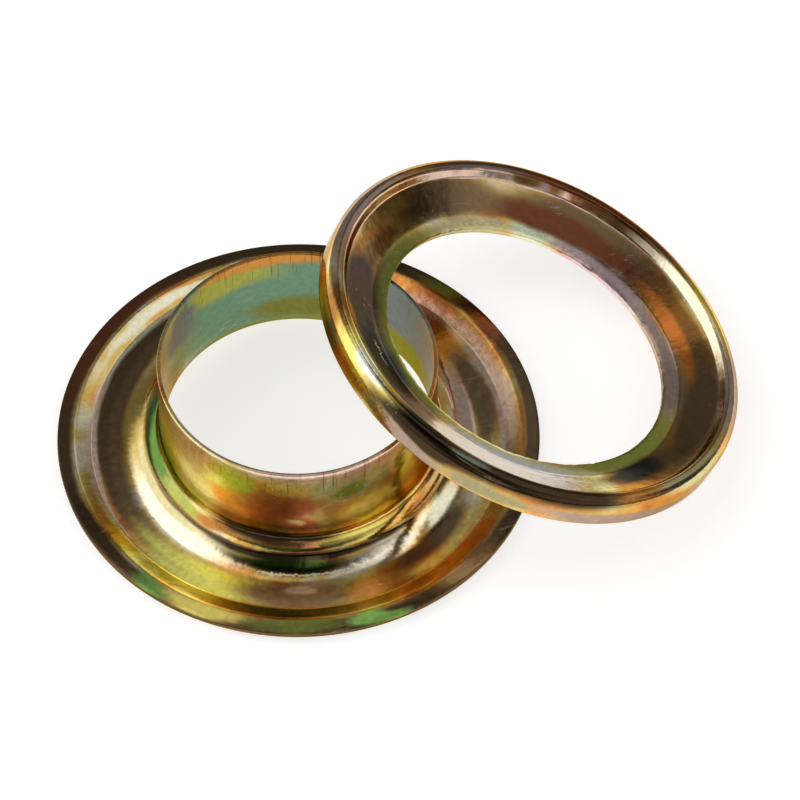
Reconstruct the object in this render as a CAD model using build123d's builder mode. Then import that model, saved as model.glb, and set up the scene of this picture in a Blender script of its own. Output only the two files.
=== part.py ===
"""Grommet eyelet and its washer, two round pressings in zinc plated sheet steel.

The eyelet is a flange with a barrel drawn up from its middle, and lies flat with the
barrel up. The washer is a dished ring that goes over the barrel when the pair is set.
Here it leans on the eyelet: its skirt stands on the table beside the flange, and the
edge of its hole rests on the barrel's lip.

Sizes are in millimetres and angles in degrees. The origin is on the barrel's axis,
halfway up the straight bore, +Z is up and +X is the way that the washer slopes down.
"""
import math
import os

from build123d import *

# Every bend is given by the radius on its inside, and its outside is the sheet wider

# Eyelet, sheet and barrel. Heights count from the top of the flange's cut edge
flange_diameter = 36.0
bore_diameter = 20.0
barrel_height = 8.9
flange_sheet = 0.5
barrel_sheet = 0.32
foot_bend = 1.2

# Eyelet, the raised ledge round the barrel's foot
ledge_width = 1.18
ledge_height = 0.56
ledge_slope = 12.0
ledge_bend = 0.1
shoulder_slope = 42.0

# Eyelet, the trough and the raised rim outside it. The trough falls a little from the
# shoulder to the cone, and the cone and the rim are shares of the brim beyond the shoulder
shoulder_depth = 0.303
trough_depth = 0.46
trough_bend = 2.5
cone_bend = 0.35
cone_share = 0.229
rim_share = 0.229
rim_rise = 0.16
rim_bend = 0.12

# Washer. Heights and depths count from the crease inside its round rim
washer_diameter = 33.2
washer_hole = 22.3
washer_sheet = 0.45
skirt_depth = 1.62
bead_height = 0.66
bead_bend = 0.36
crest_bend = 0.05
bead_flat = 0.02
flank_slope = 55.0
crease_bend = 0.3
dish_depth = 1.54
ring_share = 0.233
ring_slope = 10.0
ring_bend = 1.0

# How the washer leans on the eyelet: the lip meets its hole in two places, each this far
# round the hole from the highest point
contact_angle = 31.92
seat_clearance = 0.02


def tangent(angle):
    return math.tan(math.radians(angle))


def sheet_section(corners, bends, gauges):
    """The closed section of a bent sheet: its corners, and the radius at each.

    corners run along the sheet's upper side, with the under side to their right, bends
    are the inside radii at the inner corners, and gauges the thickness at every corner.
    Each bend is concentric on both sides, and the two cut ends are sharp.
    """
    steps = []
    for start, end in zip(corners, corners[1:]):
        step = Vector(*end) - Vector(*start)
        steps.append(step.normalized())
    under = []
    upper_bends = []
    under_bends = []
    for i, (corner, gauge) in enumerate(zip(corners, gauges)):
        before = steps[max(i - 1, 0)]
        after = steps[min(i, len(steps) - 1)]
        reach = gauge / (1 + before.dot(after))
        across = (before + after) * reach
        under.append((corner[0] + across.Y, corner[1] - across.X))
        if 0 < i < len(steps):
            bend = bends[i - 1]
            rises = before.cross(after).Z > 0
            upper_bends.append(bend if rises else bend + gauge)
            under_bends.append(bend + gauge if rises else bend)
    return corners + under[::-1], [0, *upper_bends, 0, 0, *under_bends[::-1], 0]


def section_plane(origin, tilt=0.0):
    """The plane of a ring's section: local x is the radius, local y the ring's axis."""
    downhill = Vector(1, 0, 0).rotate(Axis.Y, tilt)
    return Plane(origin=origin, x_dir=downhill, z_dir=(0, -1, 0))


# Eyelet section, from the lip down the barrel and out to the cut edge of the flange
bore_radius = bore_diameter / 2
barrel_radius = bore_radius + barrel_sheet
ledge_radius = barrel_radius + ledge_width
foot_height = ledge_height + ledge_width * tangent(ledge_slope)
shoulder_radius = ledge_radius + (ledge_height + shoulder_depth) / tangent(shoulder_slope)
flange_radius = flange_diameter / 2
brim_width = flange_radius - shoulder_radius
rim_radius = flange_radius - brim_width * rim_share
cone_radius = rim_radius - brim_width * cone_share
eyelet_corners = [
    (barrel_radius, barrel_height),
    (barrel_radius, foot_height),
    (ledge_radius, ledge_height),
    (shoulder_radius, -shoulder_depth),
    (cone_radius, -trough_depth),
    (rim_radius, rim_rise),
    (flange_radius, 0.0),
]
eyelet_bends = [foot_bend, ledge_bend, trough_bend, cone_bend, rim_bend]
eyelet_gauges = [barrel_sheet] * 2 + [flange_sheet] * 5
eyelet_points, eyelet_radii = sheet_section(eyelet_corners, eyelet_bends, eyelet_gauges)

# The straight bore runs from the bend inside the foot up to the lip
foot_turn = Vector(0, -1).get_angle(Vector(*eyelet_points[-3]) - Vector(*eyelet_points[-2]))
bore_foot = eyelet_points[-2][1] + (foot_bend + barrel_sheet) * tangent(foot_turn / 2)
edge_level = -(bore_foot + barrel_height) / 2

with BuildPart() as eyelet:
    with BuildSketch(section_plane((0, 0, edge_level))):
        with BuildLine():
            FilletPolyline(*eyelet_points, radius=eyelet_radii, close=True)
        make_face()
    revolve(axis=Axis.Z)

# Washer section, from the hole out over the round rim and down the skirt
hole_radius = washer_hole / 2
washer_radius = washer_diameter / 2
ring_width = (washer_radius - hole_radius) * ring_share
bead_radius = bead_bend + washer_sheet
crest_radius = crest_bend + washer_sheet
flank_top = washer_radius - bead_radius - bead_flat - crest_radius * tangent(flank_slope / 2)
washer_corners = [
    (hole_radius, -dish_depth),
    (hole_radius + ring_width, ring_width * tangent(ring_slope) - dish_depth),
    (flank_top - bead_height / tangent(flank_slope), 0.0),
    (flank_top, bead_height),
    (washer_radius, bead_height),
    (washer_radius, -skirt_depth),
]
washer_bends = [ring_bend, crease_bend, crest_bend, bead_bend]
washer_gauges = [washer_sheet] * 6
washer_points, washer_radii = sheet_section(washer_corners, washer_bends, washer_gauges)

# Seat of the washer. Its skirt's edge stands on the table under the flange, and the
# lower edge of its hole lies on the lip's outer edge at the two contacts. Their place
# round the hole gives the tilt, which solves rise * sine + drop * cosine = height
hole_edge, hole_depth = washer_points[-1][0], -washer_points[-1][1]
contact_along = -hole_edge * math.cos(math.radians(contact_angle))
contact_across = hole_edge * math.sin(math.radians(contact_angle))
table_level = eyelet.part.bounding_box().min.Z
lip_level = edge_level + barrel_height
rise = washer_radius - contact_along
drop = skirt_depth - hole_depth
height = lip_level + seat_clearance - table_level
washer_tilt = math.degrees(math.asin(height / math.hypot(rise, drop)) - math.atan2(drop, rise))
sine = math.sin(math.radians(washer_tilt))
cosine = math.cos(math.radians(washer_tilt))
washer_level = table_level + washer_radius * sine + skirt_depth * cosine
lip_along = math.sqrt(barrel_radius**2 - contact_across**2)
washer_reach = lip_along + hole_depth * sine - contact_along * cosine
washer_axis = Axis((washer_reach, 0, washer_level), (sine, 0, cosine))

with BuildPart() as washer:
    with BuildSketch(section_plane(washer_axis.position, washer_tilt)):
        with BuildLine():
            FilletPolyline(*washer_points, radius=washer_radii, close=True)
        make_face()
    revolve(axis=washer_axis)

eyelet.part.label = "eyelet"
washer.part.label = "washer"
print(f"bore {lip_level - edge_level - bore_foot:.3f} long, lip at {lip_level:.3f}")
print(f"table at {table_level:.3f}")
print(f"washer centre at x {washer_reach:.3f}, z {washer_level:.3f}, tilt {washer_tilt:.3f}")

os.makedirs("parts", exist_ok=True)
export_step(eyelet.part, "parts/eyelet.step")
export_step(washer.part, "parts/washer.step")
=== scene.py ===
# %% [markdown]
# # Grommet eyelet and washer
# Two round pressings of thin steel, plated with zinc and passivated yellow. The eyelet lies
# flat with its barrel up, and the washer leans on the barrel's lip. Both are solids of
# revolution with rolled and folded edges, so the shape is all in two section lines. The
# look is all in the thin iridescent film over bright metal and in what it reflects, so
# most of this lesson is about that film and about the studio round the parts.
#
# We start by loading the frame, which holds the imported CAD in metres, and by keeping its
# size.

# %% Load the frame
import math

import bmesh
import bpy
from mathutils import Matrix, Vector, noise


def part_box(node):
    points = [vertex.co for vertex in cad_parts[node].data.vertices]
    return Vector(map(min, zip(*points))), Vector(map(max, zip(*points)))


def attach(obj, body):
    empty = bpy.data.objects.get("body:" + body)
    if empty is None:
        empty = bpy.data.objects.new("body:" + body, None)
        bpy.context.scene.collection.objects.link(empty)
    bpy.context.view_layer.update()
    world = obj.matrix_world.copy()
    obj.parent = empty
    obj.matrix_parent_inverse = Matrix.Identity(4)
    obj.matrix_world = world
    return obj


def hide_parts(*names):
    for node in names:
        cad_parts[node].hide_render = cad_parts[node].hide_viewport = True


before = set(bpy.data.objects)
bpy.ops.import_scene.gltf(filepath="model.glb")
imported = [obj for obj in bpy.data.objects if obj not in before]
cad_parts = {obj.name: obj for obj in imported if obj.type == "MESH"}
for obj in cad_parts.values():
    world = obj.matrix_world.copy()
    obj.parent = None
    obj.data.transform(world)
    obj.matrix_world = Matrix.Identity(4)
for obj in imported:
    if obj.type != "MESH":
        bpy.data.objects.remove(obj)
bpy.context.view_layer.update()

MM = 0.001
eyelet_low, eyelet_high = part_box("eyelet")
washer_low, washer_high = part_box("washer")
print("eyelet", [round(v / MM, 2) for v in (*eyelet_low, *eyelet_high)])
print("washer", [round(v / MM, 2) for v in (*washer_low, *washer_high)])

# %% [markdown]
# ## Where the two pieces lie
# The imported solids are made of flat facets, and bright metal shows every one of them in
# its reflections. So both pieces are modelled again from the same sizes as the CAD, with
# finer steps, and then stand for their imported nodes. A section is a line from the inner
# edge to the outer edge, as radius and height in millimetres. The eyelet's heights count
# from the top of the flange's cut edge, and the washer's from the crease in its rim.

# %% Levels of the assembly
LIP_LEVEL = 3.639
BARREL_HEIGHT = 8.9
TABLE = -6.217
EDGE_LEVEL = LIP_LEVEL - BARREL_HEIGHT
WASHER_REACH = 17.989
WASHER_LEVEL = 1.761
WASHER_TILT = math.radians(23.0)
print(f"lip at {eyelet_high.z / MM:.3f}, table at {eyelet_low.z / MM:.3f} in the pack")

# %% [markdown]
# ## The eyelet's section
# From the lip the line runs down the barrel, bends out at its foot onto a small raised
# ledge, drops over the shoulder into the trough, and climbs the cone to the raised rim.
# Only the corners are named. Each gets the bend that the press tool gave it, and the
# radii here are those on the line's own side of the sheet.

# %% Eyelet section
FLANGE_RADIUS = 18.0
BORE_RADIUS = 10.0
FLANGE_SHEET = 0.5
BARREL_SHEET = 0.32
LEDGE_WIDTH = 1.18
LEDGE_HEIGHT = 0.56
LEDGE_SLOPE = math.radians(12)
SHOULDER_SLOPE = math.radians(42)
SHOULDER_DEPTH = 0.303
TROUGH_DEPTH = 0.46
BRIM_SHARE = 0.229
RIM_RISE = 0.16
FOOT_BEND = 1.2
LEDGE_BEND = 0.6
TROUGH_BEND = 2.5
CONE_BEND = 0.35
RIM_BEND = 0.62

barrel_radius = BORE_RADIUS + BARREL_SHEET
ledge_radius = barrel_radius + LEDGE_WIDTH
shoulder_radius = ledge_radius + (LEDGE_HEIGHT + SHOULDER_DEPTH) / math.tan(SHOULDER_SLOPE)
brim_step = (FLANGE_RADIUS - shoulder_radius) * BRIM_SHARE
eyelet_corners = [
    (barrel_radius, BARREL_HEIGHT),
    (barrel_radius, LEDGE_HEIGHT + LEDGE_WIDTH * math.tan(LEDGE_SLOPE)),
    (ledge_radius, LEDGE_HEIGHT),
    (shoulder_radius, -SHOULDER_DEPTH),
    (FLANGE_RADIUS - 2 * brim_step, -TROUGH_DEPTH),
    (FLANGE_RADIUS - brim_step, RIM_RISE),
    (FLANGE_RADIUS, 0.0),
]
eyelet_bends = [FOOT_BEND, LEDGE_BEND, TROUGH_BEND, CONE_BEND, RIM_BEND]
print("eyelet corners:", [(round(r, 2), round(h, 2)) for r, h in eyelet_corners])

# %% [markdown]
# ## The washer's section
# The washer is a dish: a nearly flat ring round the hole, a cone, a crease, and then a
# round rim, the bead, that turns over into a short skirt. A reflection shows a bend far
# better than an outline does, so the bead's radii here are the ones that put the bright
# and dark bands where they belong. They stay within a tenth of a millimetre of the CAD.

# %% Washer section
WASHER_RADIUS = 16.6
HOLE_RADIUS = 11.15
WASHER_SHEET = 0.45
SKIRT_DEPTH = 1.62
BEAD_HEIGHT = 0.72
BEAD_RADIUS = 0.86
BEAD_FLAT = 0.02
CREST_RADIUS = 0.45
CREASE_BEND = 0.3
FLANK_SLOPE = math.radians(62)
DISH_DEPTH = 1.54
RING_SHARE = 0.233
RING_SLOPE = math.radians(10)
RING_BEND = 1.0

ring_width = (WASHER_RADIUS - HOLE_RADIUS) * RING_SHARE
crest_run = CREST_RADIUS * math.tan(FLANK_SLOPE / 2)
flank_top = WASHER_RADIUS - BEAD_RADIUS - BEAD_FLAT - crest_run
washer_corners = [
    (HOLE_RADIUS, -DISH_DEPTH),
    (HOLE_RADIUS + ring_width, ring_width * math.tan(RING_SLOPE) - DISH_DEPTH),
    (flank_top - BEAD_HEIGHT / math.tan(FLANK_SLOPE), 0.0),
    (flank_top, BEAD_HEIGHT),
    (WASHER_RADIUS, BEAD_HEIGHT),
    (WASHER_RADIUS, -SKIRT_DEPTH),
]
washer_bends = [RING_BEND, CREASE_BEND, CREST_RADIUS, BEAD_RADIUS]
print("washer corners:", [(round(r, 2), round(h, 2)) for r, h in washer_corners])

# %% [markdown]
# ## From a line to a pressing
# The section could be drawn point by point, but bmesh has the operators that a press shop
# would name: a vertex bevel rounds each corner of the line, spin turns the line round the
# axis, solidify gives the skin the sheet's thickness, and an edge bevel breaks the cut
# edges. A drawn barrel is thinner than its flange, because the punch irons it, so its
# inside is pushed out to the bore's radius afterwards.

# %% A bent line
DEGREES_PER_FACET = 5.0
FEWEST_FACETS = 3
LONGEST_STEP = 0.45


def bent_line(corners, bends):
    """A bmesh that holds the corners as one line, each inner corner rounded to its bend."""
    line = bmesh.new()
    points = [line.verts.new((radius, 0, height)) for radius, height in corners]
    for start, end in zip(points, points[1:]):
        line.edges.new((start, end))
    for point, bend in zip(points[1:-1], bends):
        before, after = [(edge.other_vert(point).co - point.co) for edge in point.link_edges]
        turn = math.pi - before.angle(after)
        facets = max(FEWEST_FACETS, round(math.degrees(turn) / DEGREES_PER_FACET))
        bmesh.ops.bevel(line, geom=[point], offset=bend * math.tan(turn / 2), segments=facets,
                        profile=0.5, affect="VERTICES", material=-1)
    for edge in line.edges[:]:
        cuts = int(edge.calc_length() / LONGEST_STEP)
        if cuts:
            bmesh.ops.subdivide_edges(line, edges=[edge], cuts=cuts)
    return line


# %% A pressing turned from the line
TURN_STEPS = 288
SHARP = math.radians(50)
EDGE_FACETS = 3


def pressing(corners, bends, sheet, cut_edge, bore=0.0):
    """The line spun into a skin, thickened to the sheet and broken at its cut edges."""
    shape = bent_line(corners, bends)
    bmesh.ops.spin(shape, geom=shape.verts[:] + shape.edges[:], axis=(0, 0, 1), cent=(0, 0, 0),
                   angle=math.tau, steps=TURN_STEPS, use_merge=True)
    bmesh.ops.recalc_face_normals(shape, faces=shape.faces[:])
    bmesh.ops.solidify(shape, geom=shape.faces[:], thickness=sheet)
    for vert in shape.verts:
        radius = vert.co.xy.length
        if radius < bore:
            vert.co.xy *= bore / radius
    cuts = [edge for edge in shape.edges if edge.calc_face_angle(0) > SHARP]
    bmesh.ops.bevel(shape, geom=cuts, offset=cut_edge, segments=EDGE_FACETS, profile=0.5,
                    affect="EDGES", material=-1)
    for face in shape.faces:
        face.smooth = True
    return shape


# %% A pressing in its place
def finished(shape, name, node, place):
    """The bmesh as an object in its place, in metres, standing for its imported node."""
    bmesh.ops.transform(shape, matrix=place @ Matrix.Scale(MM, 4), verts=shape.verts[:])
    mesh = bpy.data.meshes.new(name)
    shape.to_mesh(mesh)
    shape.free()
    piece = bpy.data.objects.new(name, mesh)
    bpy.context.scene.collection.objects.link(piece)
    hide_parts(node)
    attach(piece, "root")
    triangles = sum(len(face.vertices) - 2 for face in mesh.polygons)
    print(f"{name}: {triangles} triangles")
    return piece


# %% [markdown]
# ## Burrs round the washer's hole
# The hole is punched in one blow, and a sheared edge keeps small bites that catch the
# light as a broken line. They are too small for the section, and a bump in the material
# wouldn't reach the edge's outline. So noise moves the corners of the edge themselves,
# and always away from the hole's axis, because the barrel's lip is only just inside.

# %% Bites out of the edge
BITE_DEPTH = 0.06
BITES_PER_MM = 3.0


def nick_hole(shape, hole):
    """Small bites out of the sheared edge of the hole, always away from the barrel."""
    nicked = 0
    for vert in shape.verts:
        radius = vert.co.xy.length
        if radius < hole + BITE_DEPTH:
            bite = max(0.0, noise.noise(vert.co * BITES_PER_MM)) * 2 * BITE_DEPTH
            vert.co.xy *= (radius + bite) / radius
            nicked += bite > 0
    print(nicked, "corners moved round the hole")


# %% [markdown]
# ## Both pieces in place
# Each piece is made round its own axis, where its section is easy to read, and then put
# where the CAD has it. The place goes into the mesh and not onto the object, so that the
# materials read the same coordinates as in the imported part.

# %% The two pieces
EYELET_EDGE = 0.07
WASHER_EDGE = 0.06
eyelet_centre = Vector((0, 0, EDGE_LEVEL)) * MM
washer_centre = Vector((WASHER_REACH, 0, WASHER_LEVEL)) * MM
eyelet_place = Matrix.Translation(eyelet_centre)
washer_place = Matrix.Translation(washer_centre) @ Matrix.Rotation(WASHER_TILT, 4, "Y")
eyelet_shape = pressing(eyelet_corners, eyelet_bends, FLANGE_SHEET, EYELET_EDGE, BORE_RADIUS)
washer_shape = pressing(washer_corners, washer_bends, WASHER_SHEET, WASHER_EDGE)
nick_hole(washer_shape, HOLE_RADIUS)
eyelet = finished(eyelet_shape, "eyelet_pressing", "eyelet", eyelet_place)
washer = finished(washer_shape, "washer_pressing", "washer", washer_place)

# %% [markdown]
# ## The camera
# The eyelet's bore and flange are circles, and a circle's ellipse gives the camera away:
# how flat it is tells the height, and how the near and far halves differ tells how close
# the lens was. The numbers below came from matching those ellipses.

# %% Camera
CAMERA_TURN = math.radians(14.2)
CAMERA_HEIGHT = math.radians(53.6)
CAMERA_ROLL = math.radians(0.6)
CAMERA_DISTANCE = 373.0 * MM
CAMERA_LENS = 225.0
CAMERA_SENSOR = 36
NEAREST_SEEN = 10 * MM
AIM_RIGHT = 7.56 * MM
AIM_UP = 2.50 * MM

scene = bpy.context.scene
scene.view_settings.view_transform = "Standard"
level = math.cos(CAMERA_HEIGHT)
back = Vector((-math.sin(CAMERA_TURN) * level, -math.cos(CAMERA_TURN) * level,
               math.sin(CAMERA_HEIGHT)))
right = Vector((math.cos(CAMERA_TURN), -math.sin(CAMERA_TURN), 0))
right = Matrix.Rotation(CAMERA_ROLL, 3, back) @ right
up = back.cross(right)
stand = eyelet_centre + right * AIM_RIGHT + up * AIM_UP + back * CAMERA_DISTANCE
camera_data = bpy.data.cameras.new("camera")
camera_data.lens = CAMERA_LENS
camera_data.sensor_width = CAMERA_SENSOR
camera_data.clip_start = NEAREST_SEEN
camera = bpy.data.objects.new("camera", camera_data)
scene.collection.objects.link(camera)
camera_turned = Matrix((right, up, back)).transposed().to_4x4()
camera.matrix_world = Matrix.Translation(stand) @ camera_turned
scene.camera = camera
print("camera stands at", [round(v, 3) for v in stand])

# %% [markdown]
# ## Shader maths that reads as maths
# A film that changes over the surface takes dozens of Math nodes. Wired one by one they
# hide the idea, so one small class wraps a socket and lets plain sums make the nodes, and
# one method makes every other node from its type, its settings and its inputs.


# %% Sockets
class Socket:
    """An output socket that can be used in sums."""

    def __init__(self, tree, output):
        self.tree = tree
        self.output = output

    def other(self, place):
        """Another output of the same node."""
        return Socket(self.tree, self.output.node.outputs[place])

    def math(self, operation, *values):
        return self.tree.node("ShaderNodeMath", {"operation": operation}, *values)

    def vector(self, operation, *values, out=0):
        return self.tree.node("ShaderNodeVectorMath", {"operation": operation}, *values, out=out)

    def __add__(self, other):
        return self.math("ADD", self, other)

    def __sub__(self, other):
        return self.math("SUBTRACT", self, other)

    def __rsub__(self, other):
        return self.math("SUBTRACT", other, self)

    def __mul__(self, other):
        return self.math("MULTIPLY", self, other)

    def __truediv__(self, other):
        return self.math("DIVIDE", self, other)

    def __pow__(self, other):
        return self.math("POWER", self, other)

    __radd__ = __add__
    __rmul__ = __mul__

    def step(self, low, high, bottom=0.0, top=1.0):
        """A soft step from bottom to top while the value goes from low to high."""
        return self.tree.node("ShaderNodeMapRange", {"interpolation_type": "SMOOTHSTEP"},
                              self, low, high, bottom, top)


# %% Node trees
MIXED_COLOUR = 2


class Tree:
    """A node tree that is written one call per node."""

    def __init__(self, owner):
        owner.use_nodes = True
        self.nodes = owner.node_tree.nodes
        self.links = owner.node_tree.links

    def node(self, kind, settings=None, *values, out=0):
        """A node with its settings, its sockets fed in order, and one of its outputs."""
        made = self.nodes.new(kind)
        for name, value in (settings or {}).items():
            if name == "stops":
                self.set_stops(made.color_ramp, value)
            else:
                setattr(made, name, value)
        for socket, value in zip(made.inputs, values):
            self.feed(socket, value)
        return Socket(self, made.outputs[out])

    def feed(self, socket, value):
        if isinstance(value, Socket):
            self.links.new(value.output, socket)
        elif value is not None:
            socket.default_value = value

    def mix_colour(self, mask, under, over):
        """The under colour with the over colour laid on it where the mask is 1."""
        skipped = [None] * 5
        return self.node("ShaderNodeMix", {"data_type": "RGBA"}, mask, *skipped, under, over,
                         out=MIXED_COLOUR)

    def set_stops(self, ramp, stops):
        for place, colour in stops[2:]:
            ramp.elements.new(place)
        for element, (place, colour) in zip(ramp.elements, sorted(stops)):
            element.position = place
            element.color = (*colour, 1)


# %% [markdown]
# ## The colours of the film
# Yellow passivate is a skin less than a micron thick. Light that goes through it and back
# beats with light off its top, so each thickness has its own colour, and as the skin gets
# thicker the colours come round again: yellow, pink, cream, gold, orange, red, mauve,
# slate, teal, green and yellow once more. A real interference sum would give them too,
# but nobody could then say "a little more orange here". So the colours have names. In a
# ramp they are the film wherever nothing else is laid, and the patches further down use
# the same names, so that both belong to one film.

# %% The round of film colours
SLATE = (0.32, 0.38, 0.40)
TEAL = (0.26, 0.46, 0.30)
GREEN = (0.28, 0.52, 0.12)
LIME = (0.58, 0.60, 0.13)
YELLOW = (0.92, 0.74, 0.18)
PINK = (0.88, 0.64, 0.50)
CREAM = (0.96, 0.86, 0.62)
GOLD = (0.82, 0.58, 0.16)
ORANGE = (0.86, 0.38, 0.09)
RED = (0.50, 0.17, 0.08)
MAUVE = (0.56, 0.42, 0.42)
FILM_ROUND = [SLATE, TEAL, GREEN, LIME, YELLOW, PINK, CREAM, GOLD, ORANGE, RED, MAUVE, SLATE]
FILM_STOPS = [(i / (len(FILM_ROUND) - 1), colour) for i, colour in enumerate(FILM_ROUND)]

# Mixed tones, for patches only
STRAW = (0.90, 0.78, 0.40)
SAGE = (0.66, 0.70, 0.48)
AMBER = (0.95, 0.30, 0.06)
BROWN = (0.42, 0.27, 0.14)
print(len(FILM_STOPS), "stops in the film's round")

# %% [markdown]
# ## Where the film is thick and thin, with painted light and shade
# Passivate pools and drains while it dries, so the film has soft patches. The same patches
# also paint the room's bright and dark reflections into the colour. A patch is best
# told in the ring's own terms: its angle round the ring and its distance along the
# section, each with how far it reaches. Along the section one sum does for the distance,
# the radius less a share of the height, because it grows all the way from the lip to the
# rim. Each patch names its film colour and its light, a factor on that colour: well below
# 1 it is painted shade, a dark reflection that lets the metal look black, and above 1 it
# is a painted highlight. They are laid in order, so a later patch covers an earlier one,
# and a reach of thousands of degrees goes all the way round.

# %% Patches on the eyelet: film colour and painted light
EYELET_FILM_AND_PAINTED_LIGHT = [
    # Angle and reach in degrees, distance and reach in mm, film, light (below 1 painted shade,
    # above 1 a painted highlight)
    (202, 30, 5.5, 5.5, STRAW, 1.0),
    (182, 18, 6.5, 5.0, LIME, 1.2),
    (212, 15, 5.9, 3.4, STRAW, 1.25),
    (230, 11, 3.4, 2.4, LIME, 1.1),
    (229, 12, 6.4, 2.0, ORANGE, 1.15),
    (249, 17, 5.6, 2.8, RED, 1.3),
    (256, 13, 2.8, 1.4, GOLD, 1.2),
    (280, 24, 3.4, 2.2, SAGE, 1.1),
    (279, 9, 4.1, 1.0, GREEN, 1.2),
    (288, 16, 7.2, 2.4, YELLOW, 1.1),
    (303, 4, 6.0, 5.0, LIME, 0.5),
    (309, 6, 6.0, 4.2, YELLOW, 1.1),
    (321, 9, 6.5, 5.0, ORANGE, 1.0),
    (270, 46, 1.6, 1.0, PINK, 1.0),
    # Painted highlight: the bright spot low on the barrel's front, its reflection of the trough
    (259, 10, 7.4, 1.1, RED, 1.6),
    (258, 5, 7.2, 0.5, CREAM, 1.4),
    # The foot and the ledge; the patches well below 1 here are painted shade, the dark
    # reflection in the foot's bend and over the shoulder
    (246, 32, 9.1, 1.0, BROWN, 0.16),
    (200, 14, 8.9, 0.7, LIME, 0.5),
    (172, 36, 10.0, 1.1, GREEN, 0.5),
    (206, 16, 10.0, 0.7, LIME, 0.75),
    (204, 26, 10.8, 0.4, GOLD, 0.4),
    (221, 9, 10.0, 0.8, ORANGE, 0.55),
    (248, 14, 10.35, 0.3, LIME, 1.1),
    (282, 20, 9.9, 0.8, YELLOW, 1.1),
    (250, 78, 11.1, 0.5, BROWN, 0.22),
    # The inner side of the trough; pink and cream over 1 are painted highlights and the green
    # at 0.18 in front is painted shade
    (165, 28, 12.4, 1.4, GOLD, 0.75),
    (208, 34, 12.5, 1.3, CREAM, 1.05),
    (192, 36, 11.5, 0.6, STRAW, 0.75),
    (254, 24, 12.0, 0.9, GREEN, 0.18),
    (286, 16, 12.7, 1.0, PINK, 1.4),
    (313, 15, 12.5, 1.2, CREAM, 1.1),
    (0, 34, 12.4, 1.4, PINK, 0.7),
    # The floor of the trough; its browns well below 1 are painted shade and the yellow, pink
    # and orange over 1 painted highlights
    (160, 62, 14.4, 1.1, BROWN, 0.55),
    (228, 27, 14.8, 1.5, YELLOW, 1.3),
    (257, 22, 14.8, 1.3, BROWN, 1.2),
    (257, 6, 14.2, 0.5, PINK, 1.4),
    (280, 12, 15.0, 1.1, ORANGE, 1.15),
    (306, 20, 14.1, 0.9, BROWN, 0.5),
    (299, 12, 15.4, 0.5, YELLOW, 1.1),
    (2, 22, 14.4, 1.2, BROWN, 0.7),
    (26, 14, 14.2, 1.4, ORANGE, 0.7),
    # The cone and its two creases; the thin cream and pink lines on the creases are painted
    # highlights and the brown is painted shade
    (130, 34, 15.55, 0.4, CREAM, 1.1),
    (150, 64, 15.1, 0.6, BROWN, 0.4),
    (176, 34, 15.85, 0.3, PINK, 1.1),
    (8, 46, 15.9, 0.6, PINK, 1.0),
    (110, 40, 16.25, 0.2, CREAM, 1.1),
    (248, 24, 16.2, 0.35, LIME, 1.3),
    # The raised rim, darkened all round as painted shade for its dark reflection; the patches
    # over 1 are painted highlights
    (0, 4000, 17.65, 1.05, BROWN, 0.34),
    (136, 26, 17.3, 0.8, RED, 0.5),
    (22, 8, 17.3, 0.8, RED, 0.8),
    (38, 8, 17.3, 0.8, LIME, 0.5),
    (217, 7, 17.3, 0.8, GREEN, 0.7),
    (233, 13, 17.2, 0.8, YELLOW, 1.1),
    (196, 19, 17.3, 0.8, BROWN, 0.15),
    (256, 14, 17.2, 0.8, LIME, 0.45),
    (276, 7, 17.3, 0.8, GREEN, 1.7),
    (303, 16, 17.2, 0.8, BROWN, 0.8),
    # The bore and the far side of the barrel, which share their places
    (80, 90, 4.6, 9.0, TEAL, 0.6),
    (66, 44, 7.4, 1.6, LIME, 0.32),
    (20, 34, 5.0, 6.0, SLATE, 0.6),
    (110, 30, 2.6, 1.5, LIME, 0.62),
    (138, 14, 3.4, 2.4, SLATE, 0.5),
    (88, 38, 1.3, 1.0, ORANGE, 0.7),
    (20, 34, 7.8, 1.8, LIME, 0.45),
    (90, 60, 9.3, 1.0, LIME, 0.4),
]
print(len(EYELET_FILM_AND_PAINTED_LIGHT), "patches on the eyelet")
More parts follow.
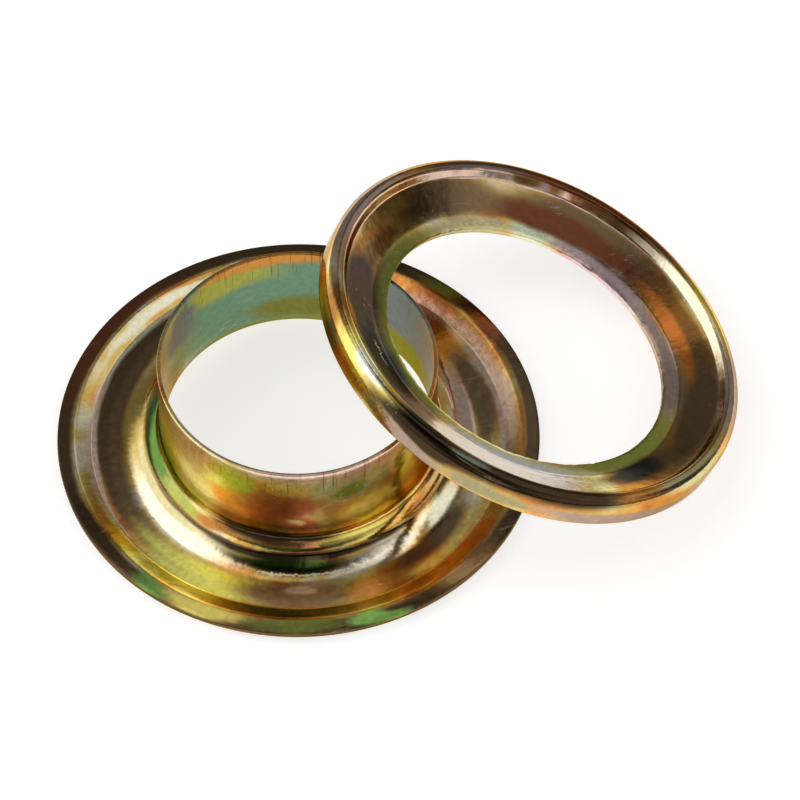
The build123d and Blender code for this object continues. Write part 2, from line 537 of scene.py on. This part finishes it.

# %% Patches on the washer: film colour and painted light
WASHER_FILM_AND_PAINTED_LIGHT = [
    # Light as on the eyelet: below 1 painted shade, above 1 a painted highlight
    # The ring round the hole
    (6, 18, 12.4, 0.9, PINK, 0.7),
    (42, 28, 12.5, 0.9, MAUVE, 1.4),
    (72, 11, 12.5, 0.9, SAGE, 1.2),
    (98, 22, 12.3, 0.9, STRAW, 0.7),
    (150, 40, 12.3, 0.9, LIME, 0.5),
    (198, 26, 12.3, 0.9, LIME, 0.65),
    (248, 28, 12.6, 0.9, STRAW, 1.2),
    (302, 34, 12.4, 0.9, LIME, 0.75),
    (344, 20, 12.5, 0.9, PINK, 0.5),
    # The cone of the dish; its dark patches are painted shade for dark reflections, and the
    # cream, pink and straw over 1 paint the white highlight on its near left
    (14, 24, 14.3, 1.2, ORANGE, 0.45),
    (54, 34, 14.1, 1.4, BROWN, 0.4),
    (62, 44, 13.6, 0.9, RED, 0.3),
    (104, 24, 14.1, 1.4, BROWN, 0.5),
    (139, 12, 13.6, 0.6, ORANGE, 0.45),
    (166, 27, 14.0, 1.7, MAUVE, 0.12),
    (194, 24, 13.9, 1.7, SLATE, 0.22),
    (214, 9, 14.0, 1.6, MAUVE, 0.3),
    (226, 8, 13.9, 1.5, PINK, 1.3),
    (250, 32, 13.9, 1.8, CREAM, 1.6),
    (276, 8, 13.9, 1.6, STRAW, 1.2),
    (296, 18, 13.7, 0.9, SLATE, 0.2),
    (333, 34, 14.2, 1.3, BROWN, 0.55),
    (10, 22, 13.55, 0.5, AMBER, 1.0),
    # The crease and the bead; the thin crease lines and the gold, yellow and cream over 1 are
    # painted highlights, and the browns and sage near 0.1 paint the dark reflection band on
    # the near side
    (12, 20, 15.55, 0.9, GOLD, 1.2),
    (10, 30, 15.35, 0.4, GOLD, 1.2),
    (68, 56, 15.45, 0.5, RED, 0.3),
    (92, 18, 15.3, 0.3, MAUVE, 0.25),
    (80, 34, 16.25, 0.4, PINK, 0.6),
    (85, 44, 15.03, 0.07, PINK, 0.75),
    (10, 40, 15.07, 0.13, CREAM, 0.95),
    (138, 26, 15.8, 1.0, PINK, 0.75),
    (175, 10, 15.9, 1.2, ORANGE, 0.5),
    (195, 17, 15.8, 1.2, YELLOW, 1.15),
    (197, 9, 15.7, 0.8, CREAM, 1.2),
    (221, 14, 15.7, 0.85, SAGE, 0.12),
    (222, 26, 16.5, 0.6, BROWN, 0.14),
    (246, 42, 15.95, 1.0, BROWN, 0.14),
    (237, 5, 15.6, 0.6, SAGE, 0.28),
    (262, 25, 15.75, 0.9, BROWN, 0.15),
    (287, 7, 15.8, 0.9, ORANGE, 0.7),
    (305, 16, 15.8, 1.0, STRAW, 0.75),
    (342, 22, 15.8, 0.9, PINK, 0.55),
    # The skirt, darkened as painted shade
    (188, 20, 17.1, 0.35, ORANGE, 0.5),
    (217, 15, 17.15, 0.32, PINK, 0.45),
    (242, 13, 17.15, 0.32, STRAW, 0.42),
    (278, 28, 17.1, 0.4, PINK, 0.5),
]
print(len(WASHER_FILM_AND_PAINTED_LIGHT), "patches on the washer")

# %% [markdown]
# ## Coordinates that follow the ring
# A Mapping node moves Object coordinates to the piece's own axis and counts them in
# millimetres, so the patterns turn with the leaning washer. The place round the ring is
# kept as a point on a circle whose rim is measured in degrees. An angle alone would do
# for the numbers, but it jumps at the far side, and noise on it would show a seam.

# %% The ring's own coordinates
OBJECT_COORDINATES = 3
DEGREES = math.degrees(1)


def on_ring(angle, along):
    """The place of a spot from its angle in degrees and its distance in mm."""
    turn = math.radians(angle)
    return (DEGREES * math.cos(turn), DEGREES * math.sin(turn), along)


def ring_place(tree, centre, tilt, height_share):
    """The piece's own mm, the distance along its section, and the place round its ring."""
    where = tree.node("ShaderNodeTexCoord", out=OBJECT_COORDINATES)
    ring = tree.node("ShaderNodeMapping", {"vector_type": "TEXTURE"}, where, centre,
                     (0, tilt, 0), (MM, MM, MM))
    x = tree.node("ShaderNodeSeparateXYZ", None, ring)
    y = x.other(1)
    z = x.other(2)
    radius = (x * x + y * y) ** 0.5
    along = radius - z * height_share
    place = tree.node("ShaderNodeCombineXYZ", None, x / radius * DEGREES,
                      y / radius * DEGREES, along)
    return ring, along, place


def stretched_noise(tree, place, stretch, detail=2.0, roughness=0.5, out=0):
    """Noise on the place, with the frequencies per degree or mm in the three directions."""
    spread = tree.node("ShaderNodeVectorMath", {"operation": "MULTIPLY"}, place, stretch)
    return tree.node("ShaderNodeTexNoise", None, spread, None, 1.0, detail, roughness, out=out)


# %% [markdown]
# ## The film as it dried
# Two noises keep the film from looking painted. One bends the places, so that the edges
# of the patches wander, mostly round the ring, as liquid creeps along a bend. The other
# drifts through the ramp of film colours under the patches. Both are wide and soft: what
# is fine on plating are its marks, and not its colour.

# %% The film on a piece
NOISE_MIDDLE = 0.5
FILM_DETAIL = 3.0
SWIRL = (0.05, 0.05, 0.6)
SWIRL_REACH = (20.0, 20.0, 0.6)
DRIFT = (0.05, 0.05, 0.4)
DRIFT_REACH = 0.8
PATCH_END = 1.15
PATCH_FULL = 0.5
NOISE_COLOUR = 1
VECTOR_LENGTH = 1


def with_patch(tree, place, under, patch):
    """The colour with one patch over it, full to half its reach and gone just past it."""
    angle, turn, along, reach, film, light = patch
    scale = (1 / turn, 1 / turn, 1 / reach)
    offset = [-middle * share for middle, share in zip(on_ring(angle, along), scale)]
    apart = tree.node("ShaderNodeVectorMath", {"operation": "MULTIPLY_ADD"}, place, scale, offset)
    distance = apart.vector("LENGTH", apart, out=VECTOR_LENGTH)
    # The film colour times the light: below 1 painted shade, above 1 a painted highlight, clipped
    # at white
    shade = [min(1.0, part * light) for part in film]
    return tree.mix_colour(distance.step(PATCH_END, PATCH_FULL), under, (*shade, 1))


def film_on(tree, place, patches, base_film):
    """The colour of the film and of its painted light and shade: a round of colours that drifts,
    with the patches over it.
    """
    swirl = stretched_noise(tree, place, SWIRL, detail=FILM_DETAIL, out=NOISE_COLOUR)
    centred = [-NOISE_MIDDLE * reach for reach in SWIRL_REACH]
    shift = tree.node("ShaderNodeVectorMath", {"operation": "MULTIPLY_ADD"}, swirl, SWIRL_REACH,
                      centred)
    bent = place.vector("ADD", place, shift)
    drift = stretched_noise(tree, place, DRIFT, detail=FILM_DETAIL)
    order = (drift - NOISE_MIDDLE) * DRIFT_REACH + base_film
    colour = tree.node("ShaderNodeValToRGB", {"stops": FILM_STOPS}, order.math("FRACT", order))
    for patch in patches:
        colour = with_patch(tree, bent, colour, patch)
    return colour


# %% [markdown]
# ## Marks of the press and of the drum, and a painted highlight line
# Two kinds of mark and one painted line keep bright plating from looking like plastic. The
# punch leaves short draw lines that run up the barrel. Small parts tumble in a plating drum
# and scratch each other. And a pale ragged line, a painted highlight with a ridge in the
# bump, runs a short way round each piece; on the eyelet it stands for the bright reflection
# along the trough. All three are noise that is squeezed in one direction until it is a line.

# %% Draw lines under the lip
DRAW_LINES = (1.6, 1.6, 0.3)
DRAW_LINE_EDGE = (0.57, 0.68)


def draw_lines(tree, place, along, drawn):
    """Lines across the ring's turn, from the lip to the distance that is given."""
    lines = stretched_noise(tree, place, DRAW_LINES)
    return lines.step(*DRAW_LINE_EDGE) * along.step(drawn, drawn * 0.5)


# %% Scratches from the drum
SCRATCH = (0.12, 4.5, 4.5)
SCRATCH_EDGE = (0.68, 0.73)
SCRATCH_GROUPS = (0.3, 0.3, 0.3)
GROUP_EDGE = (0.54, 0.64)

# How far each lot of scratches is turned and tilted, in radians
SCRATCH_WAYS = [(0.5, 0.3), (-0.9, 0.2)]


def one_way(tree, ring, turn, tilt):
    """Fine lines that run one way, in scattered groups."""
    laid = tree.node("ShaderNodeMapping", None, ring, (0, 0, 0), (tilt, 0, turn), SCRATCH)
    lines = tree.node("ShaderNodeTexNoise", None, laid, None, 1.0, 1.0, 0.5)
    groups = stretched_noise(tree, ring, SCRATCH_GROUPS, detail=1.0)
    return lines.step(*SCRATCH_EDGE) * groups.step(*GROUP_EDGE)


def scratches(tree, ring):
    """Two lots of fine lines that cross."""
    first, second = [one_way(tree, ring, turn, tilt) for turn, tilt in SCRATCH_WAYS]
    return first.math("MAXIMUM", first, second)


# %% A ragged painted highlight line
RAGGED = (0.8, 0.8, 1.5)
RAGGED_REACH = 0.9


def glint_line(tree, place, along, glint):
    """A pale line round the ring that strays, a painted highlight with a ridge, with the noise
    that it strays by.
    """
    angle, turn, distance, width = glint
    ragged = stretched_noise(tree, place, RAGGED, detail=4.0, roughness=0.7)
    turned = place.vector("DISTANCE", place, on_ring(angle, distance), out=VECTOR_LENGTH)
    strayed = along + (ragged - NOISE_MIDDLE) * RAGGED_REACH - distance
    strayed = strayed.math("ABSOLUTE", strayed)
    line = strayed.step(width, width * 0.3) * turned.step(turn, turn * 0.7)
    return line, ragged


# %% [markdown]
# ## The plating
# The metal is Principled BSDF with Metallic at 1, so its base colour is what it gives
# back, and the film, its painted light and shade and the marks all go into that colour.
# Roughness follows the wear: what the tool ironed is brighter than what was only drawn.
# A faint bump, like the skin of an orange, keeps the reflections from looking like glass.
# The tint holds the film's warm tone at a grazing view, where bare metal would turn white.

# %% The plated metal
EDGE_TINT = (0.62, 0.5, 0.34)
GRAIN = (2.2, 2.2, 2.2)
GRAIN_SHADE = (0.2, 0.8, 0.86, 1.08)
GRAIN_ROUGHNESS = 0.08
PEEL = (0.9, 0.9, 0.9)
DRAWN_SHADE = 0.6
SCRATCH_STRENGTH = 0.15
GLINT_STRENGTH = 0.9
MARK_ROUGHNESS = 0.22
SCRATCH_DEPTH = 0.12
GLINT_RIDGE_DEPTH = 0.4
BUMP_STRENGTH = 0.14
BUMP_HEIGHT = 0.2 * MM


def plated(piece, centre, tilt, height_share, patches, base_film, worn, drawn, glint):
    """A material with the film of the piece and its painted light and shade over bright metal,
    and its marks.
    """
    material = bpy.data.materials.new(piece.name)
    tree = Tree(material)
    ring, along, place = ring_place(tree, centre, tilt, height_share)
    colour = film_on(tree, place, patches, base_film)
    grain = stretched_noise(tree, ring, GRAIN, detail=4.0, roughness=0.6)
    lines = draw_lines(tree, place, along, drawn)
    shade = grain.step(*GRAIN_SHADE) * lines.step(0.0, 1.0, 1.0, DRAWN_SHADE)
    colour = tree.node("ShaderNodeVectorMath", {"operation": "SCALE"}, colour, None, None, shade)
    scratch = scratches(tree, ring)
    glint_and_ridge, ragged = glint_line(tree, place, along, glint)
    # Scratches lay pale bare metal; the ragged line is a painted highlight in the same pale
    # colour
    scratches_and_glint = scratch * SCRATCH_STRENGTH
    scratches_and_glint = scratches_and_glint.math("MAXIMUM", scratches_and_glint, glint_and_ridge * GLINT_STRENGTH)
    colour = tree.mix_colour(scratches_and_glint, colour, (*CREAM, 1))
    body = tree.nodes["Principled BSDF"]
    tree.feed(body.inputs["Base Color"], colour)
    roughness = worn(along) + (grain - NOISE_MIDDLE) * GRAIN_ROUGHNESS + scratches_and_glint * MARK_ROUGHNESS
    tree.feed(body.inputs["Roughness"], roughness)
    body.inputs["Metallic"].default_value = 1
    body.inputs["Specular Tint"].default_value = (*EDGE_TINT, 1)
    peel = stretched_noise(tree, ring, PEEL, detail=3.0)
    relief = peel - scratch * SCRATCH_DEPTH + glint_and_ridge * GLINT_RIDGE_DEPTH * ragged
    bump = tree.node("ShaderNodeBump", None, BUMP_STRENGTH, BUMP_HEIGHT, None, relief)
    tree.feed(body.inputs["Normal"], bump)
    piece.data.materials.append(material)
    print(f"{piece.name}: {len(tree.nodes)} nodes in its plating")


# %% Wear along the sections
BARREL_ROUGHNESS = 0.25
IRONED_ROUGHNESS = 0.14
TROUGH_ROUGHER = 0.09
DISH_ROUGHNESS = 0.19
BEAD_ROUGHNESS = 0.13


def eyelet_wear(along):
    """The drawn barrel and the trough are duller than the bends that the tool ironed."""
    barrel = along.step(7.2, 9.0, BARREL_ROUGHNESS, IRONED_ROUGHNESS)
    return barrel + along.step(12.8, 14.0, 0.0, TROUGH_ROUGHER)


def washer_wear(along):
    """The dish is duller than the bead."""
    return along.step(14.6, 15.6, DISH_ROUGHNESS, BEAD_ROUGHNESS)


# %% Both platings
EYELET_FILM = 0.66
WASHER_FILM = 0.68
EYELET_DRAWN = 5.0
WASHER_DRAWN = 0.0

# Painted highlight lines with a ridge in the bump, the eyelet's along its trough
# Angle and reach in degrees, distance and width in mm
EYELET_GLINT = (258, 17, 12.9, 0.14)
WASHER_GLINT = (190, 6, 13.6, 0.05)
plated(eyelet, eyelet_centre, tilt=0, height_share=1.0, patches=EYELET_FILM_AND_PAINTED_LIGHT,
       base_film=EYELET_FILM, worn=eyelet_wear, drawn=EYELET_DRAWN, glint=EYELET_GLINT)
plated(washer, washer_centre, tilt=WASHER_TILT, height_share=0.5, patches=WASHER_FILM_AND_PAINTED_LIGHT,
       base_film=WASHER_FILM, worn=washer_wear, drawn=WASHER_DRAWN, glint=WASHER_GLINT)

# %% [markdown]
# ## The studio
# Bright metal has no shade of its own: it shows the room. A tall soft wall of light stands
# on the left and a smaller one on the right, while the far side and the camera's side are
# dim, which is what gives the barrel its dark front. Area lamps would do, but metal shows
# their hard outlines. So the walls are part of the world, each a patch of sky between two
# azimuths and two elevations, with edges that fade as those of cloth panels do. Azimuth
# counts from straight away from the camera, to the right.

# %% The directions of the room
world = bpy.data.worlds.new("studio")
scene.world = world
sky = Tree(world)
direction = sky.node("ShaderNodeTexCoord")
facing = sky.node("ShaderNodeMapping", {"vector_type": "POINT"}, direction, (0, 0, 0),
                  (0, 0, CAMERA_TURN))
side = sky.node("ShaderNodeSeparateXYZ", None, facing)
away = side.other(1)
rise = side.other(2)
azimuth = side.math("ARCTAN2", side, away) * DEGREES
elevation = rise.math("ARCSINE", rise) * DEGREES


HALF_TURN = 180.0


def wall(low, high, bottom, top, strength, edge):
    """A wall of light between two azimuths and two elevations, with soft edges."""
    middle = (low + high) / 2
    half = (high - low) / 2
    turned = azimuth.math("WRAP", azimuth - middle, HALF_TURN, -HALF_TURN)
    turned = turned.math("ABSOLUTE", turned)
    wide = turned.step(half + edge, half - edge)
    tall = elevation.step(bottom - edge, bottom + edge) * elevation.step(top + edge, top - edge)
    return wide * tall * strength


# %% The walls of light
WALLS = [
    # Two azimuths, two elevations, strength, and how far the edges fade, in degrees
    (-122, -50, -30, 76, 1.3, 8.0),
    (-60, -15, 58, 80, 0.6, 8.0),
    (52, 108, 28, 76, 0.75, 8.0),
    # Cards to the right and left of the camera, and a small lamp below it
    (88, 150, 8, 36, 0.45, 8.0),
    (98, 150, 34, 54, 0.15, 8.0),
    (-150, -122, 6, 50, 0.4, 8.0),
    (174, 184, 14, 24, 2.0, 3.0),
    (98, 124, 46, 78, 0.4, 8.0),
    # The far side, the ceiling and the camera's side, all dim
    (-50, 5, -30, 52, 0.16, 8.0),
    (15, 60, -30, 48, 0.27, 8.0),
    (-95, 95, 74, 100, 0.35, 8.0),
    (112, 248, 8, 34, 0.36, 8.0),
    (112, 248, 34, 60, 0.1, 8.0),
    # Narrow slits for the glints, one beside the camera and four high on the far side
    (164, 175, 20, 64, 1.0, 4.0),
    (14, 31, 45, 55, 0.8, 4.0),
    (-13, -4, 57, 71, 0.8, 3.0),
    (-2, 9, 57, 66, 0.8, 3.0),
    (6, 14, 64, 69, 0.9, 3.0),
]
BARE_ROOM = 0.04
room = wall(*WALLS[0])
for sizes in WALLS[1:]:
    room = room + wall(*sizes)
room = room + BARE_ROOM
backdrop = world.node_tree.nodes["Background"]
sky.feed(backdrop.inputs["Color"], room)
print(len(WALLS), "walls of light round the parts")

# %% [markdown]
# ## The floor
# A plain pale sheet. Its colour alone would come out grey beside clipped highlights, so
# it gives out a little light of its own, but only to the camera and to rays that metal or
# glass sends on. That leaves the light on the parts alone, and keeps their soft shadow on
# the sheet.

# %% Floor
FLOOR_HALF = 3.0
FLOOR_GLOW = 0.7
FLOOR_SHINE = 0.85
FLOOR_COLOUR = (0.6, 0.6, 0.6, 1)
GLOSSY_RAY = 3
TRANSMISSION_RAY = 6
floor_shape = bmesh.new()
bmesh.ops.create_grid(floor_shape, x_segments=1, y_segments=1, size=FLOOR_HALF)
bmesh.ops.translate(floor_shape, verts=floor_shape.verts[:], vec=(0, 0, TABLE * MM))
floor_mesh = bpy.data.meshes.new("floor")
floor_shape.to_mesh(floor_mesh)
floor_shape.free()
floor = bpy.data.objects.new("floor", floor_mesh)
scene.collection.objects.link(floor)
paper = bpy.data.materials.new("paper")
sheet = Tree(paper)
seen = sheet.node("ShaderNodeLightPath")
reflected = seen.other(GLOSSY_RAY) + seen.other(TRANSMISSION_RAY)
paper_body = sheet.nodes["Principled BSDF"]
paper_body.inputs["Base Color"].default_value = FLOOR_COLOUR
paper_body.inputs["Roughness"].default_value = 1
paper_body.inputs["Specular IOR Level"].default_value = 0
paper_body.inputs["Emission Strength"].default_value = 1
sheet.feed(paper_body.inputs["Emission Color"], seen * FLOOR_GLOW + reflected * FLOOR_SHINE)
floor.data.materials.append(paper)
print(f"floor {2 * FLOOR_HALF:.0f} m wide at {TABLE} mm")
